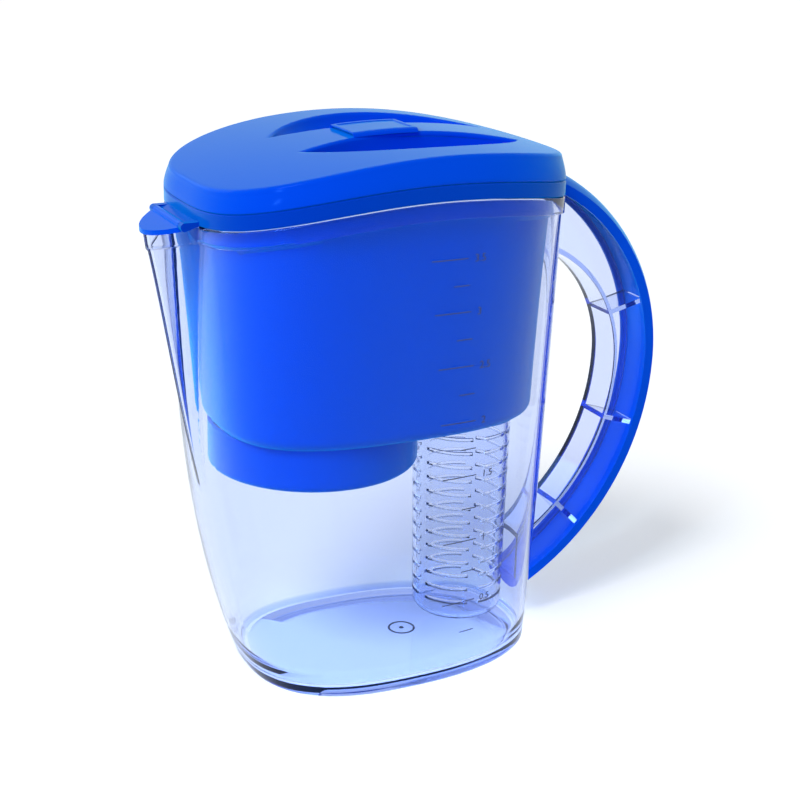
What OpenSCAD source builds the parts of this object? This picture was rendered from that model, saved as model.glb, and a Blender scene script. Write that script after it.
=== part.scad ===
// Water jug with a lift-out reservoir, a filter cartridge, a slotted fruit infuser,
// a domed lid, a pouring flap and a loop handle.
// Millimetres, +Z up. The spout points to -X, the handle to +X, and Y = 0 is the mirror plane.
// The origin is on the table, midway between the tip of the flap and the back of the handle.

/* [Jug] */
// From the origin to the tip of the flap, and to the back of the handle
half_length = 135.75; // [132:0.25:142]
// Height of the rim at its crest
rim_height = 240.8; // [225:0.2:255]
// Radius of the rim's arch, seen from the side
arch_radius = 345; // [300:5:450]
// Where the rim's crest lies, forward of the origin
arch_forward = 18.75; // [10:0.25:28]
// Wall of the jug
jug_wall = 2.5; // [2:0.1:3]
// Thickness of the jug's floor
floor_thick = 2.8; // [2:0.1:4]
// Front of the base, as a share of half_length
base_front_share = 0.6534; // [0.62:0.0002:0.69]
// Rear of the base, as a share of half_length
base_rear_share = 0.4435; // [0.42:0.0001:0.4455]
// Half the width of the base
base_half_width = 54; // [50:0.5:58]
// Where the base is widest, forward of the origin, as a share of half_length
base_mid_share = 0.1731; // [0.12:0.0001:0.22]
// Front of the wall at the rim, as a share of half_length
rim_front_share = 0.856; // [0.825:0.001:0.87]
// Rear of the wall at the rim, as a share of half_length
rim_rear_share = 0.4464; // [0.445:0.0002:0.464]
// Half the width of the wall at the rim
rim_half_width = 70.8; // [66:0.2:75]
// Where the rim is widest, forward of the origin, as a share of half_length
rim_mid_share = 0.2136; // [0.18:0.0002:0.26]
// How far the thick band at the rim stands out
band_outset = 1.2; // [0.8:0.1:1.6]
// Height of the jug's thick band
jug_band = 7.8; // [6:0.2:10]
// Height of the foot ring under the floor
foot_rise = 1.2; // [0.6:0.1:2]
// Width of the foot ring
foot_width = 4; // [3:0.5:6]
// Radius between the floor and the wall
floor_round = 5; // [3:0.5:8]

/* [Spout] */
// How far the tip of the flap passes the spout
flap_overhang = 1; // [0.3:0.1:2]
// Half the width of the spout at the rim
spout_half_width = 20.6; // [18:0.2:23]
// Height at which the spout leaves the wall
spout_foot = 100; // [92:1:120]
// Thickness of the flap
flap_thick = 2.2; // [1.6:0.1:3]
// How far the flap's hinge lies in front of the band
flap_hinge_forward = 5.5; // [5:0.1:7]
// Radius of the flap's barrel
flap_barrel_radius = 1.9; // [1.6:0.1:2.2]
// Radius of the flap's pins
flap_pin_radius = 1; // [0.8:0.1:1.2]
// Width of each ear that holds a pin
ear_width = 4; // [3:0.5:6]

/* [Handle] */
// Height of the handle's backmost point
handle_mid_height = 139; // [133:1:143]
// How far above the rim's crest the grip's back meets the wall
handle_top_rise = 1.025; // [0:0.005:2]
// Height at which the grip's back meets the wall near the base
handle_foot = 16.71; // [12:0.01:24]
// How far the finger gap's backmost point lies below the handle's
gap_mid_drop = 1; // [0:0.5:4]
// Depth of the handle from its back to the finger gap
handle_depth = 26.8; // [25:0.1:30]
// How far below the rim's crest the finger gap meets the wall
gap_top_drop = 39.26; // [35:0.01:48]
// Height at which the finger gap meets the wall near the base
gap_foot = 49.72; // [44:0.01:60]
// How much the grip's back is crowned
grip_crown = 4.7; // [3:0.1:6]
// Width of the grip's back flange
grip_width = 26; // [22:0.5:30]
// Depth of the grip's back flange at its edges
grip_flange = 4.8; // [3.6:0.1:6]
// Thickness of the grip's two skirts, which overlap the clear channel
grip_wall = 1.7; // [1.4:0.1:2.4]
// How far the skirts reach over the channel
grip_overlap = 2.8; // [2:0.1:3.4]
// Wall of the clear channel inside the grip
channel_wall = 2.4; // [2:0.1:3]

/* [Reservoir] */
// Height of the reservoir's underside
reservoir_base = 126; // [122:0.5:132]
// Wall of the reservoir
reservoir_wall = 2.2; // [1.8:0.1:2.8]
// Height of the blue band between the jug and the lid
reservoir_band = 7.6; // [6:0.2:10]
// Width of the band's top edge
band_width = 3.4; // [3:0.1:4]
// Depth of the shoulder that centres the reservoir in the jug
shoulder_depth = 8; // [5:0.5:12]
// Gap round the reservoir below the shoulder
upper_gap = 3; // [2:0.5:5]
// Gap in front of the reservoir at its base
front_gap = 8; // [6:0.5:9]
// Gap beside the reservoir at its base
side_gap = 7.5; // [6:0.5:9]
// Gap behind the reservoir at its base
rear_gap = 3; // [2.6:0.2:4]
// Radius round the reservoir's underside
reservoir_round = 6; // [4:0.5:8]
// Least space between the filter well and the reservoir's side
well_side_gap = 5.47; // [5:0.01:9]
// How far the well stands out from the reservoir's front at its base
well_front_step = 0.3; // [0:0.1:0.6]
// Least space between the filter well and the infuser's collar
well_back_gap = 2.7; // [2:0.1:6]
// Depth of the well below the reservoir's underside
well_depth = 20.6; // [16:0.2:24]
// Radius of the hole in the well's floor
outlet_radius = 15; // [12:0.5:18]

/* [Filter] */
// Gap between the cartridge and the well
cartridge_gap = 1.2; // [0.8:0.1:2]
// Height of the cartridge without its spigot
cartridge_height = 52; // [44:1:58]
// Wall of the cartridge
cartridge_wall = 1.8; // [1.4:0.1:2.4]
// Thickness of each felt pad
pad_thick = 3; // [2:0.5:4]
// Thickness of the seal's cord
seal_thick = 3; // [2.6:0.1:3.4]
// Radius of the outlet spigot
spigot_radius = 13.4; // [10:0.2:14]
// Number of inlet slots in the cartridge's cap
inlet_slots = 12; // [8:1:16]

/* [Infuser] */
// Outer radius of the tube at its top row of slots, as a share of half_length
tube_radius_share = 0.1834; // [0.17:0.0001:0.187]
// How much the radius falls towards the bottom
tube_taper = 1.8; // [1:0.1:2.4]
// Where the tube's axis lies, behind the origin, as a share of half_length
tube_back_share = 0.2004; // [0.185:0.0001:0.206]
// Wall of the tube
tube_wall = 1.8; // [1.4:0.1:2.2]
// Height of the tube's underside above the table
tube_base = 12; // [11:0.5:14]
// Radius round the tube's underside
tube_round = 6; // [4:0.5:8]
// Rows of slots
slot_rows = 13; // [9:1:13]
// Slots in each row
slot_columns = 5; // [4:1:6]
// Height from one row to the next
slot_pitch = 7.33; // [6.8:0.01:7.4]
// Height of a slot
slot_height = 1.6; // [1.2:0.1:3.2]
// Height of the lowest row
first_row = 23; // [21:0.5:24]
// Depth of the collar that holds the tube
collar_depth = 8; // [6:0.5:10]
// Wall of the collar
collar_wall = 2; // [1.6:0.1:2.4]
// Thickness of the silicone ring on the tube's neck
ring_thick = 2; // [1.5:0.1:2.5]

/* [Lid] */
// How far the crest of the lid's top edge stands above the rim's
lid_rise = 19.5; // [18:0.1:24]
// Radius of the lid's arch, seen from the side
lid_arch_radius = 285.7; // [260:5:330]
// Where the lid's crest lies, forward of the origin
lid_crest_forward = 15.2; // [8:0.2:22]
// How much the lid rises from its sides to its middle
lid_crown = 1.2; // [0.6:0.1:2.4]
// How far the lid's side leans in
lid_lean = 2.2; // [1:0.1:3]
// Radius of the lid's top edge
lid_edge_round = 1.8; // [1.2:0.1:2.2]
// Wall of the lid
lid_wall = 2.2; // [1.8:0.1:2.6]
// Depth of the skirt that centres the lid in the reservoir
skirt_depth = 4; // [3:0.5:6]
// Where the middle of the finger pockets lies, forward of the origin
pocket_forward = 13.5; // [8:0.5:18]
// Radius of each pocket's outer edge
pocket_radius = 62.7; // [58:0.1:64]
// How far past the mirror plane that radius starts
pocket_offset = 12.7; // [10:0.1:15]
// Half the width of the bridge between the pockets
bridge_half_width = 13; // [11:0.5:15]
// How much wider the bridge is at its ends
bridge_flare = 7; // [4:0.5:8]
// Depth of the pockets
pocket_depth = 13; // [9:0.5:15]
// How far each pocket's outer wall slopes in
pocket_slope = 9; // [5:0.5:11]
// How far the pockets reach under the bridge
pocket_undercut = 2; // [1:0.1:3]
// Length of the plate on the bridge
plate_length = 32.5; // [28:0.5:36]
// Width of the plate
plate_width = 28; // [24:0.5:30]
// Thickness of the plate
plate_thick = 1.6; // [1:0.1:2.2]
// Where the plate's middle lies, forward of the origin
plate_forward = 23.8; // [21:0.2:28]

/* [Fits] */
// Gap between pieces that part
part_gap = 0.3; // [0.2:0.05:0.4]
// How far the strip that joins the handle's two arcs reaches past their meeting line
arc_lap = 1; // [0.5:0.1:1]
// How far inside the arcs that strip ends
arc_skin = 0.02; // [0.02:0.01:0.1]
// Gap beside the reservoir's shoulder and the lid's skirt
slide_gap = 0.6; // [0.4:0.1:0.8]
// Radial clearance of the flap's pins
pin_clearance = 0.05; // [0.02:0.01:0.1]

/* [Hidden] */
overrun = 1;

// Shape of the plan: exponents of the rounded outline, at the base and at the rim
base_front_power = 2.6;
base_rear_power = 2.3;
rim_front_power = 3;
rim_rear_power = 2.95;
// How fast the wall swells from the base: at the front and at the sides
front_swell_power = 3.3;
side_swell_power = 1.55;
// Share of the height below which the rings lie level
level_share = 0.6;
// Angles round the plan in degrees, closer together at the spout
coarse_step = 7.5;
fine_step = 2.5;
spout_span = 15;
edge_step = 30;
inner_edge_step = 45;
ring_angles = [
    each [0 : coarse_step : 180 - spout_span],
    each [180 - spout_span + fine_step : fine_step : 180 + spout_span - fine_step],
    each [180 + spout_span : coarse_step : 360 - coarse_step]
];
// The spout's cross-section: share of its width that is rounded, and its width at its foot
spout_round_share = 0.25;
spout_foot_share = 0.35;

base_front = half_length * base_front_share;
base_rear = half_length * base_rear_share;
base_mid_forward = half_length * base_mid_share;
rim_front = half_length * rim_front_share;
rim_rear = half_length * rim_rear_share;
rim_mid_forward = half_length * rim_mid_share;
tube_radius = half_length * tube_radius_share;
tube_back = half_length * tube_back_share;
lid_crest = rim_height + lid_rise;
foot_height = 0;
floor_top = foot_rise + floor_thick;
spout_reach = half_length - flap_overhang - rim_front;
gap_back = half_length - handle_depth;
grip_inset = grip_crown + grip_flange;
handle_root = base_rear - grip_inset;
channel_inset = grip_inset - grip_overlap + part_gap;
channel_half = grip_width / 2 - grip_wall - part_gap;
gap_mid_height = handle_mid_height - gap_mid_drop;

// Radius of an arc that swings out by a depth over a rise, to where it stands upright
function arc_radius(depth, rise) = (pow(depth, 2) + pow(rise, 2)) / (2 * depth);

// The handle's arcs, from where each meets the wall
handle_upper_radius =
    arc_radius(half_length - base_rear, rim_height + handle_top_rise - handle_mid_height);
handle_lower_radius = arc_radius(half_length - base_rear, handle_mid_height - handle_foot);
gap_upper_radius = arc_radius(gap_back - base_rear, rim_height - gap_top_drop - gap_mid_height);
gap_lower_radius = arc_radius(gap_back - base_rear, gap_mid_height - gap_foot);

// Height of the arched rim above x
function rim_z(x) = rim_height - pow(x + arch_forward, 2) / (2 * arch_radius);

// Height of the lid's top above a point, before its crown
function lid_edge_z(x) = lid_crest - pow(x + lid_crest_forward, 2) / (2 * lid_arch_radius);

// Height of the lid's top with its crown
function lid_top_z(x, y) = lid_edge_z(x) + lid_crown * (1 - pow(y / rim_half_width, 2));

function blend(a, b, share) = a + (b - a) * share;
function swell(share, power) = 1 - pow(1 - min(share, 1), power);

// Distance from the middle of a rounded outline to its edge, at an angle
function outline_reach(angle, front, rear, half, front_power, rear_power) =
    let (length = cos(angle) < 0 ? front : rear)
    let (power = cos(angle) < 0 ? front_power : rear_power)
    pow(pow(abs(cos(angle)) / length, power) + pow(abs(sin(angle)) / half, power), -1 / power);

// The spout's section: 1 in the middle, 0 at its edges, with a rounded tip
function spout_section(share) =
    let (edge = sqrt(1 + pow(spout_round_share, 2)))
    let (here = sqrt(pow(share, 2) + pow(spout_round_share, 2)))
    max(0, (edge - here) / (edge - spout_round_share));

// How far the spout stands out at a height, from 0 at its foot to its full reach at the rim
function spout_share(height) = max(0, (height - spout_foot) / (rim_height - spout_foot));

// One ring of the jug's wall at a share of its height, drawn in by three insets, with the spout
// as it is at spout_height. The band is set out round the wall but not round the spout.
function wall_ring(share, front_inset, rear_inset, side_inset, spout_height) =
    let (side = swell(share, side_swell_power))
    let (middle = -blend(base_mid_forward, rim_mid_forward, side))
    let (front = blend(base_front, rim_front, swell(share, front_swell_power)) + middle - front_inset)
    let (rear = blend(base_rear, rim_rear, side) - middle - rear_inset)
    let (half = blend(base_half_width, rim_half_width, side) - side_inset)
    let (front_power = blend(base_front_power, rim_front_power, side))
    let (rear_power = blend(base_rear_power, rim_rear_power, side))
    let (spout = spout_share(spout_height))
    let (spout_half = spout_half_width * blend(spout_foot_share, 1, spout) - max(side_inset, 0))
    let (spout_length = spout * (spout_reach + min(front_inset, 0)))
    [for (angle = ring_angles)
        let (reach = outline_reach(angle, front, rear, half, front_power, rear_power))
        let (y = reach * sin(angle))
        let (bump = cos(angle) < 0 ? spout_length * spout_section(y / spout_half) : 0)
        [middle + reach * cos(angle) - bump, y]];

// Lifts a flat ring to a share of the height, where it follows the rim's arch
function raised(ring, share, rise) =
    let (weight = pow(max(0, (share - level_share) / (1 - level_share)), 2))
    let (drop = rim_height * (1 - share))
    [for (p = ring) [p.x, p.y, blend(rim_height, rim_z(p.x), weight) - drop + rise]];

// A ring of the jug's wall at a height, with the same inset all round
function jug_ring(height, inset, with_spout = true) =
    raised(wall_ring(height / rim_height, inset, inset, inset, with_spout ? height : 0),
        height / rim_height, 0);

// A ring on the arched rim, raised above or sunk below it
function rim_ring(inset, rise, with_spout = false) =
    raised(wall_ring(1, inset, inset, inset, with_spout ? rim_height + min(rise, 0) : 0), 1, rise);

// A closed skin through rings that run up the outside and back down the inside
module skin(rings) {
    count = len(rings[0]);
    last = (len(rings) - 1) * count;
    points = [for (ring = rings) each ring];
    sides = [for (row = [0 : len(rings) - 2], i = [0 : count - 1])
        let (a = row * count + i)
        let (b = row * count + (i + 1) % count)
        each [[a, a + count, b], [a + count, b + count, b]]];
    first_cap = [for (i = [1 : count - 2]) [0, i, i + 1]];
    last_cap = [for (i = [1 : count - 2]) [last, last + i + 1, last + i]];
    polyhedron(points, concat(first_cap, sides, last_cap), convexity = 10);
}

// Heights of the wall's rings between the floor and the rim, as shares of the rim's height
wall_shares = [0.04, 0.09, 0.16, 0.25, 0.36, 0.48, 0.6, 0.72, 0.82, 0.91];

// The foot, the outside of the wall and the band at the rim
function jug_outside() = concat(
    [jug_ring(foot_height, foot_rise)],
    [jug_ring(foot_rise, 0)],
    [for (share = wall_shares) jug_ring(rim_height * share, 0)],
    [rim_ring(0, -jug_band, true), rim_ring(-band_outset, -jug_band, true)],
    [rim_ring(-band_outset, 0, true)]);

// The inside of the wall from the rim down to the floor
function jug_inside() = concat(
    [rim_ring(jug_wall, 0, true), rim_ring(jug_wall, -jug_band, true)],
    [for (i = [len(wall_shares) - 1 : -1 : 1]) jug_ring(rim_height * wall_shares[i], jug_wall)],
    [for (angle = [0 : 30 : 90])
        raised(wall_ring(floor_top / rim_height, jug_wall + floor_round * (1 - cos(angle)),
            jug_wall + floor_round * (1 - cos(angle)), jug_wall + floor_round * (1 - cos(angle)), 0),
            floor_top / rim_height, floor_round * (1 - sin(angle)))]);

// The clear jug: wall, spout, band, floor and foot ring in one moulding
module jug_shell() {
    color("lightsteelblue", 0.35)
        skin(concat(
            [jug_ring(foot_rise, foot_width + foot_rise), jug_ring(foot_height, foot_width)],
            jug_outside(),
            jug_inside()));
}

// The space that the jug fills and that its lid and reservoir pass, for what meets its wall
module jug_solid() {
    clear = -band_outset - part_gap;
    skin(concat(jug_outside(), [rim_ring(clear, 0, true), rim_ring(clear, rim_height, true)]));
}

// Flat region inside two arcs that meet at a backmost point, seen from the side
module side_arc(back, height, upper_radius, lower_radius) {
    intersection() {
        translate([back - upper_radius, height])
            circle(r = upper_radius, $fn = 180);
        translate([handle_root, height])
            square([half_length, upper_radius]);
    }
    intersection() {
        translate([back - lower_radius, height])
            circle(r = lower_radius, $fn = 180);
        translate([handle_root, height - lower_radius])
            square([half_length, lower_radius]);
    }
    // Strip just inside both arcs, so that they join as one piece
    translate([handle_root, height - arc_lap])
        square([back - handle_root - arc_skin, 2 * arc_lap]);
}

// Region inside the grip's back, drawn in
module back_region(inset) {
    side_arc(half_length - inset, handle_mid_height, handle_upper_radius - inset, handle_lower_radius - inset);
}

// Region of the finger gap, set out
module gap_region(outset) {
    side_arc(gap_back + outset, gap_mid_height, gap_upper_radius + outset, gap_lower_radius + outset);
}

// Turns a side view into a slab across the mirror plane
module across(width) {
    rotate([90, 0, 0])
        linear_extrude(height = width, center = true)
            children();
}

// Section of the grip: crowned outside, with a skirt on each side of the channel
module back_section(radius) {
    steps = 6;
    edge = radius - grip_crown - grip_flange;
    crown = [for (i = [-steps : steps])
        [radius - grip_crown * pow(i / steps, 2), grip_width / 2 * i / steps]];
    inner = grip_width / 2 - grip_wall;
    recess = [[edge, inner], [edge + grip_overlap, inner], [edge + grip_overlap, -inner], [edge, -inner]];
    polygon(concat([[edge, -grip_width / 2]], crown, [[edge, grip_width / 2]], recess));
}

// The clear channel of the handle: a web towards the fingers, two sides and cross ribs
module handle_channel() {
    rib_angles = [14, -17, -45];
    color("lightsteelblue", 0.35)
        difference() {
            union() {
                across(2 * channel_half)
                    difference() {
                        intersection() {
                            back_region(channel_inset);
                            gap_region(channel_wall);
                        }
                        gap_region(0);
                    }
                for (side = [-1, 1])
                    translate([0, side * (channel_half - channel_wall / 2), 0])
                        across(channel_wall)
                            difference() {
                                back_region(channel_inset);
                                gap_region(0);
                            }
                across(2 * channel_half)
                    intersection() {
                        difference() {
                            back_region(channel_inset);
                            gap_region(0);
                        }
                        for (angle = rib_angles)
                            translate([gap_back - gap_lower_radius, gap_mid_height])
                                rotate(angle)
                                    translate([0, -channel_wall / 2])
                                        square([half_length, channel_wall]);
                    }
            }
            jug_solid();
        }
}

// The blue grip: a crowned cap with two skirts over the clear channel
module handle_grip() {
    color("royalblue")
        difference() {
            intersection() {
                union() {
                    translate([half_length - handle_upper_radius, 0, handle_mid_height])
                        rotate([90, 0, 0])
                            rotate_extrude(angle = 90, $fn = 180)
                                back_section(handle_upper_radius);
                    translate([half_length - handle_lower_radius, 0, handle_mid_height])
                        rotate([90, 0, 0])
                            rotate([0, 0, -90])
                                rotate_extrude(angle = 90, $fn = 180)
                                    back_section(handle_lower_radius);
                }
                across(grip_width + overrun)
                    translate([handle_root, 0])
                        square([half_length, 2 * rim_height]);
            }
            jug_solid();
        }
}

// Inset of the reservoir's wall inside the jug's outline at the top
upper_inset = jug_wall + upper_gap;

// The reservoir's outline at its base, drawn in by a further inset
function reservoir_foot(inset, height) =
    raised(wall_ring(reservoir_base / rim_height, jug_wall + front_gap + inset,
        jug_wall + rear_gap + inset, jug_wall + side_gap + inset, 0), reservoir_base / rim_height,
        height - reservoir_base);

// Half the reservoir's width and its reach to the front, both at its base
reservoir_half = blend(base_half_width, rim_half_width, swell(reservoir_base / rim_height, side_swell_power))
    - jug_wall - side_gap;
reservoir_front = blend(base_front, rim_front, swell(reservoir_base / rim_height, front_swell_power))
    - jug_wall - front_gap;
// The collar holds the infuser's ring, which is as wide as the tube and a gap
ring_outer = tube_radius + part_gap;
collar_radius = ring_outer + part_gap + collar_wall;

// The well fills the space between the front and the collar, or between the sides if that is less
well_length = reservoir_front + well_front_step + tube_back - collar_radius - well_back_gap;
well_radius = min(well_length / 2, reservoir_half - well_side_gap);
well_forward = reservoir_front + well_front_step - well_radius;

// Rounded lower edge of the reservoir, from the underside to the wall
function reservoir_edge(inset, floor_height, radius, steps) =
    [for (angle = steps)
        reservoir_foot(inset + radius * (1 - cos(angle)), floor_height + radius * (1 - sin(angle)))];

// Well and collar share this: a tube that hangs under the reservoir
module hanging_tube(x, radius, depth) {
    translate([x, 0, reservoir_base - depth])
        cylinder(r = radius, h = depth + reservoir_wall, $fn = 96);
}

// A shelf behind the flap's barrel, and the ears that hold its pins
module flap_ears() {
    shelf_start = flap_x + flap_barrel_radius + part_gap;
    spread = [for (i = [0 : flap_steps]) blend(shelf_start, -rim_front, i / flap_steps)];
    across(2 * (ear_inner + ear_width))
        strip([for (x = spread) [x, rim_z(x) + part_gap]], flap_thick);
    for (side = [-1, 1])
        translate([flap_x, side * (ear_inner + ear_width / 2), flap_z])
            across(ear_width) {
                circle(r = flap_barrel_radius, $fn = 48);
                polygon([[0, -flap_barrel_radius],
                    [ear_length, rim_z(flap_x + ear_length) + part_gap - flap_z],
                    [ear_length, flap_barrel_radius],
                    [0, flap_barrel_radius]]);
            }
}

// The blue reservoir: band, shoulder, body, filter well and infuser collar
module reservoir() {
    shoulder_inset = jug_wall + slide_gap;
    rises = [90 : -edge_step : 0];
    drops = [0 : inner_edge_step : 90];
    color("mediumblue")
        difference() {
            union() {
                skin(concat(
                    reservoir_edge(0, reservoir_base, reservoir_round, rises),
                    [rim_ring(upper_inset, -shoulder_depth - upper_gap)],
                    [rim_ring(shoulder_inset, -shoulder_depth), rim_ring(shoulder_inset, part_gap)],
                    [rim_ring(-band_outset, part_gap), rim_ring(-band_outset, reservoir_band - part_gap)],
                    [rim_ring(band_width - band_outset, reservoir_band - part_gap)],
                    [rim_ring(band_width - band_outset, reservoir_band - skirt_depth - 2 * part_gap)],
                    [rim_ring(shoulder_inset + reservoir_wall, 0)],
                    [rim_ring(shoulder_inset + reservoir_wall, -shoulder_depth)],
                    [rim_ring(upper_inset + reservoir_wall, -shoulder_depth - upper_gap)],
                    reservoir_edge(reservoir_wall, reservoir_base + reservoir_wall,
                        reservoir_round - reservoir_wall, drops)));
                hanging_tube(-well_forward, well_radius, well_depth);
                hanging_tube(tube_back, collar_radius, collar_depth);
                flap_ears();
            }
            translate([-well_forward, 0, well_floor])
                cylinder(r = well_radius - reservoir_wall, h = well_depth + reservoir_wall, $fn = 96);
            translate([-well_forward, 0, well_floor - reservoir_wall - overrun])
                cylinder(r = outlet_radius, h = reservoir_wall + 2 * overrun, $fn = 64);
            translate([tube_back, 0, reservoir_base - collar_depth - overrun])
                cylinder(r = collar_radius - collar_wall, h = collar_depth + overrun, $fn = 96);
            translate([flap_x, 0, flap_z])
                rotate([90, 0, 0])
                    cylinder(r = flap_pin_radius + pin_clearance, h = 2 * pin_reach, center = true, $fn = 48);
        }
}

// The flap's hinge line, its ears and its pins
ear_length = flap_hinge_forward + band_width / 2;
flap_x = -(rim_front + band_outset + flap_hinge_forward);
flap_z = rim_z(flap_x) + part_gap + flap_barrel_radius;
ear_inner = spout_half_width - ear_width / 2 - part_gap;
pin_reach = ear_inner + ear_width / 2;
flap_half = ear_inner - part_gap;

flap_steps = 6;
plate_steps = 12;
pocket_steps = 12;

// Side view of a strip of even thickness over a line of points
module strip(line, thick) {
    polygon(concat(line, [for (i = [len(line) - 1 : -1 : 0]) line[i] + [0, thick]]));
}

// Outline of the flap from above: a rounded arrow that covers the spout
module flap_plan() {
    tip = half_length + flap_x;
    tip_share = 0.7;
    points = [for (angle = [-90 : 6 : 90])
        [-tip * pow(cos(angle), 1 + tip_share), spout_half_width * sin(angle)]];
    polygon(points);
}

// The hinged flap over the spout: a curved plate, a barrel and two pins
module spout_flap() {
    spread = [for (i = [0 : flap_steps]) blend(-half_length, flap_x, i / flap_steps)];
    color("royalblue") {
        difference() {
            intersection() {
                across(2 * spout_half_width)
                    strip([for (x = spread) [x, rim_z(x) + part_gap]], flap_thick);
                translate([flap_x, 0, 0])
                    linear_extrude(height = 2 * rim_height)
                        flap_plan();
            }
            for (side = [-1, 1])
                translate([flap_x, side * (ear_inner + ear_width / 2), flap_z])
                    across(ear_width + 2 * part_gap)
                        circle(r = flap_barrel_radius + part_gap, $fn = 48);
        }
        translate([flap_x, 0, flap_z])
            rotate([90, 0, 0])
                cylinder(r = flap_barrel_radius, h = 2 * flap_half, center = true, $fn = 48);
        translate([flap_x, 0, flap_z])
            rotate([90, 0, 0])
                cylinder(r = flap_pin_radius, h = 2 * pin_reach - 2 * part_gap, center = true, $fn = 48);
    }
}

// A ring of the lid: the rim's outline drawn in, at the height that its rule gives
function lid_ring(inset, drop) =
    [for (p = wall_ring(1, inset, inset, inset, 0)) [p.x, p.y, lid_top_z(p.x, p.y) - drop]];

// The lid's outline shrunk towards its middle, for its top and its ceiling
function lid_inner_ring(share, inset, drop) =
    [for (p = wall_ring(1, inset, inset, inset, 0))
        let (x = blend(-rim_mid_forward, p.x, share))
        let (y = p.y * share)
        [x, y, lid_top_z(x, y) - drop]];

// Plan of a finger pocket: a lens between the bridge and an outer arc, seen from above
function pocket_plan(side, outset, slope, undercut) =
    let (radius = pocket_radius + outset - slope)
    let (bridge = bridge_half_width - outset - undercut)
    let (half = sqrt(pow(radius, 2) - pow(bridge + bridge_flare + pocket_offset, 2)))
    let (outer = [for (i = [0 : pocket_steps])
        let (x = half * cos(180 * i / pocket_steps))
        [x - pocket_forward, sqrt(pow(radius, 2) - pow(x, 2)) - pocket_offset]])
    let (inner = [for (i = [pocket_steps - 1 : -1 : 1])
        let (x = half * cos(180 * i / pocket_steps))
        [x - pocket_forward, bridge + bridge_flare * pow(x / half, 2)]])
    let (ring = concat(outer, inner))
    side > 0 ? ring : [for (i = [len(ring) - 1 : -1 : 0]) [ring[i].x, -ring[i].y]];

// A finger pocket down to its flat floor: the space itself from above the lid, or its shell from
// within the lid's wall
module pocket(side, outset, is_shell) {
    above = lid_crest + lid_crown + overrun;
    floor_z = lid_crest - pocket_depth - outset;
    skin([for (share = [1, 0.8, 0.55, 0.3, 0])
        [for (p = pocket_plan(side, outset, pocket_slope * pow(share, 2), pocket_undercut * share))
            let (top = is_shell ? lid_top_z(p.x, p.y) - lid_wall / 2 : above)
            [p.x, p.y, blend(top, floor_z, share)]]]);
}

// The blue lid: a domed shell with a centring skirt and two finger pockets
module lid_shell() {
    skirt_inset = band_width - band_outset + slide_gap;
    top_inset = lid_lean - band_outset;
    top_shares = [0.97, 0.85, 0.65, 0.45, 0.22, 0.05];
    ceiling_shares = [0.05, 0.3, 0.6, 0.8, 0.97];
    color("dodgerblue")
        difference() {
            union() {
                skin(concat(
                    [for (share = ceiling_shares) lid_inner_ring(share, skirt_inset + lid_wall, lid_wall)],
                    [lid_ring(skirt_inset + lid_wall, lid_wall + lid_edge_round)],
                    [rim_ring(skirt_inset + lid_wall, reservoir_band - skirt_depth)],
                    [rim_ring(skirt_inset, reservoir_band - skirt_depth), rim_ring(skirt_inset, reservoir_band)],
                    [rim_ring(-band_outset, reservoir_band)],
                    [for (angle = [0, 30, 60, 90])
                        lid_ring(top_inset + lid_edge_round * (1 - cos(angle)),
                            lid_edge_round * (1 - sin(angle)))],
                    [for (share = top_shares) lid_inner_ring(share, top_inset + lid_edge_round, 0)]));
                for (side = [-1, 1])
                    pocket(side, lid_wall, true);
            }
            for (side = [-1, 1])
                pocket(side, 0, false);
        }
}

// The bare plate on the bridge, bent to the lid's arch
module lid_plate() {
    start = -plate_forward - plate_length / 2;
    spread = [for (i = [0 : plate_steps]) start + plate_length * i / plate_steps];
    color("royalblue")
        across(plate_width)
            strip([for (x = spread) [x, lid_top_z(x, 0) + part_gap]], plate_thick);
}

// Filter cartridge: it stands on the well's floor and its spigot passes the outlet
well_floor = reservoir_base - well_depth + reservoir_wall;
cartridge_base = well_floor + part_gap;
cartridge_radius = well_radius - reservoir_wall - cartridge_gap;
cartridge_bore = cartridge_radius - cartridge_wall;
cartridge_top = cartridge_base + cartridge_height;
spigot_depth = reservoir_wall + part_gap;
seal_outer = cartridge_radius + cartridge_gap - part_gap;
seal_height = cartridge_base + 2 * seal_thick;
stack_base = cartridge_base + cartridge_wall + part_gap;
cap_lip = 2 * cartridge_wall;

module on_well_axis() {
    translate([-well_forward, 0, 0])
        children();
}

// A turned ring from its four limits
module turned_ring(inner, outer, low, high) {
    rotate_extrude($fn = 96)
        translate([inner, low])
            square([outer - inner, high - low]);
}

// Cup of the cartridge with a groove for the seal and the outlet spigot
module filter_housing() {
    groove = seal_outer - seal_thick - part_gap / 2;
    color("whitesmoke")
        on_well_axis()
            difference() {
                union() {
                    turned_ring(0, cartridge_radius, cartridge_base, cartridge_top);
                    turned_ring(0, spigot_radius, cartridge_base - spigot_depth, cartridge_base);
                }
                turned_ring(0, cartridge_bore - cartridge_wall, cartridge_base + cartridge_wall,
                    cartridge_top + overrun);
                turned_ring(groove, cartridge_radius + overrun, seal_height - seal_thick / 2 - part_gap / 2,
                    seal_height + seal_thick / 2 + part_gap / 2);
                turned_ring(0, spigot_radius - cartridge_wall, cartridge_base - spigot_depth - overrun,
                    cartridge_base + cartridge_wall + overrun);
            }
}

// Soft ring that seals the cartridge in its well
module filter_seal() {
    color("dimgray")
        on_well_axis()
            rotate_extrude($fn = 96)
                translate([seal_outer - seal_thick / 2, seal_height])
                    circle(r = seal_thick / 2, $fn = 32);
}

stack_radius = cartridge_bore - cartridge_wall - part_gap;
cap_base = cartridge_top + part_gap;

module filter_bottom_pad() {
    color("white")
        on_well_axis()
            turned_ring(0, stack_radius, stack_base, stack_base + pad_thick);
}

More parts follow.
